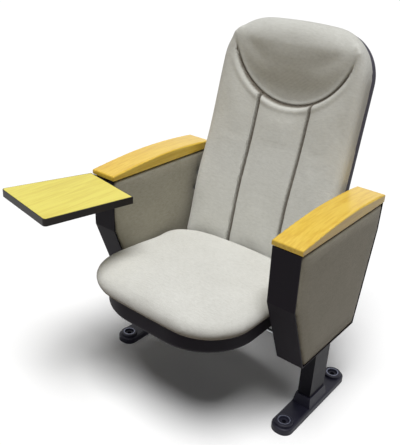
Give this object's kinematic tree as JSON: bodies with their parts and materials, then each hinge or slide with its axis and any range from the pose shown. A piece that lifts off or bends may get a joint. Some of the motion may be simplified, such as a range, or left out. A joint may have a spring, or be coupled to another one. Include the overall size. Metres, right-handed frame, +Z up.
{
  "type": "lecture hall chair",
  "caption": "Upholstered tip-up lecture-hall chair on floor-bolted legs, with box arms, wooden caps and a fold-out writing tablet.",
  "frame": {"origin": "centre of the four floor-bolt holes, at floor level", "axes": "+X is the sitter's left, the chair faces -Y, +Z is up"},
  "size_m": [0.7714, 0.8373, 1.0364],
  "materials": {
    "cushion_fabric": "woven upholstery",
    "panel_fabric": "woven upholstery",
    "beech_wood": "clear lacquer",
    "laminate_board": "laminate",
    "edge_plastic": "moulded",
    "plywood": "plain",
    "moulded_plastic": "fine moulded grain",
    "shell_plastic": "fine moulded grain",
    "nylon": "plain",
    "rubber": "matt",
    "coated_steel": "powder coat",
    "plated_steel": "zinc plate"
  },
  "bodies": {
    "stand": {"arm_cap_right": "beech_wood", "arm_frame_left": "coated_steel", "arm_frame_right": "coated_steel", "arm_front_cover_left": "moulded_plastic", "arm_front_cover_right": "moulded_plastic", "arm_rear_cover_left": "moulded_plastic", "arm_rear_cover_right": "moulded_plastic", "arm_under_cover_left": "moulded_plastic", "arm_under_cover_right": "moulded_plastic", "back_board": "plywood", "back_bolts": "plated_steel", "back_bracket_left": "coated_steel", "back_bracket_right": "coated_steel", "back_cushion": "cushion_fabric", "back_screws": "plated_steel", "back_shell": "shell_plastic", "back_spacers": "plated_steel", "cap_rail_right": "coated_steel", "cap_screws_right": "plated_steel", "foot_left": "coated_steel", "foot_right": "coated_steel", "inner_panel_left": "panel_fabric", "inner_panel_right": "panel_fabric", "leg_left": "coated_steel", "leg_right": "coated_steel", "lid_hinge_fixed_leaf": "plated_steel", "lid_hinge_pin": "plated_steel", "lid_pads": "rubber", "outer_panel_left": "panel_fabric", "outer_panel_right": "panel_fabric", "panel_screws": "plated_steel", "panel_standoffs": "plated_steel", "seat_pivot_pin_left": "plated_steel", "seat_pivot_pin_right": "plated_steel", "seat_stop_pegs": "plated_steel", "seat_stop_sleeves": "rubber", "tablet_arm": "coated_steel", "tablet_hinge_pin": "plated_steel", "tablet_pivot_pin": "plated_steel", "tablet_spacer": "plated_steel", "tablet_stop_pin": "plated_steel"},
    "seat": {"seat_cushion": "cushion_fabric", "seat_board": "plywood", "seat_pan": "moulded_plastic", "seat_bracket_left": "coated_steel", "seat_bracket_right": "coated_steel", "seat_bush_left": "nylon", "seat_bush_right": "nylon", "spring_cartridge_left": "plated_steel", "spring_cartridge_right": "plated_steel", "seat_screws": "plated_steel"},
    "lid": {"arm_lid_left": "beech_wood", "lid_hinge_moving_leaf": "plated_steel", "lid_screws": "plated_steel"},
    "tablet": {"tablet_board": "laminate_board", "tablet_edge": "edge_plastic", "tablet_hinge_leaf": "plated_steel", "tablet_screws": "plated_steel"}
  },
  "joints": [
    {"name": "seat_tip", "type": "hinge", "parent": "stand", "child": "seat", "pos_m": [0, -0.08, 0.32], "axis": [-1, 0, 0], "range_deg": [0, 76]},
    {"name": "arm_lid", "type": "hinge", "parent": "stand", "child": "lid", "pos_m": [-0.3509, -0.025, 0.60775], "axis": [0, -1, 0], "range_deg": [0, 100]},
    {"name": "tablet_fold", "type": "hinge", "parent": "stand", "child": "tablet", "pos_m": [-0.292, -0.305, 0.584], "axis": [0, -1, 0], "range_deg": [0, 90]}
  ]
}
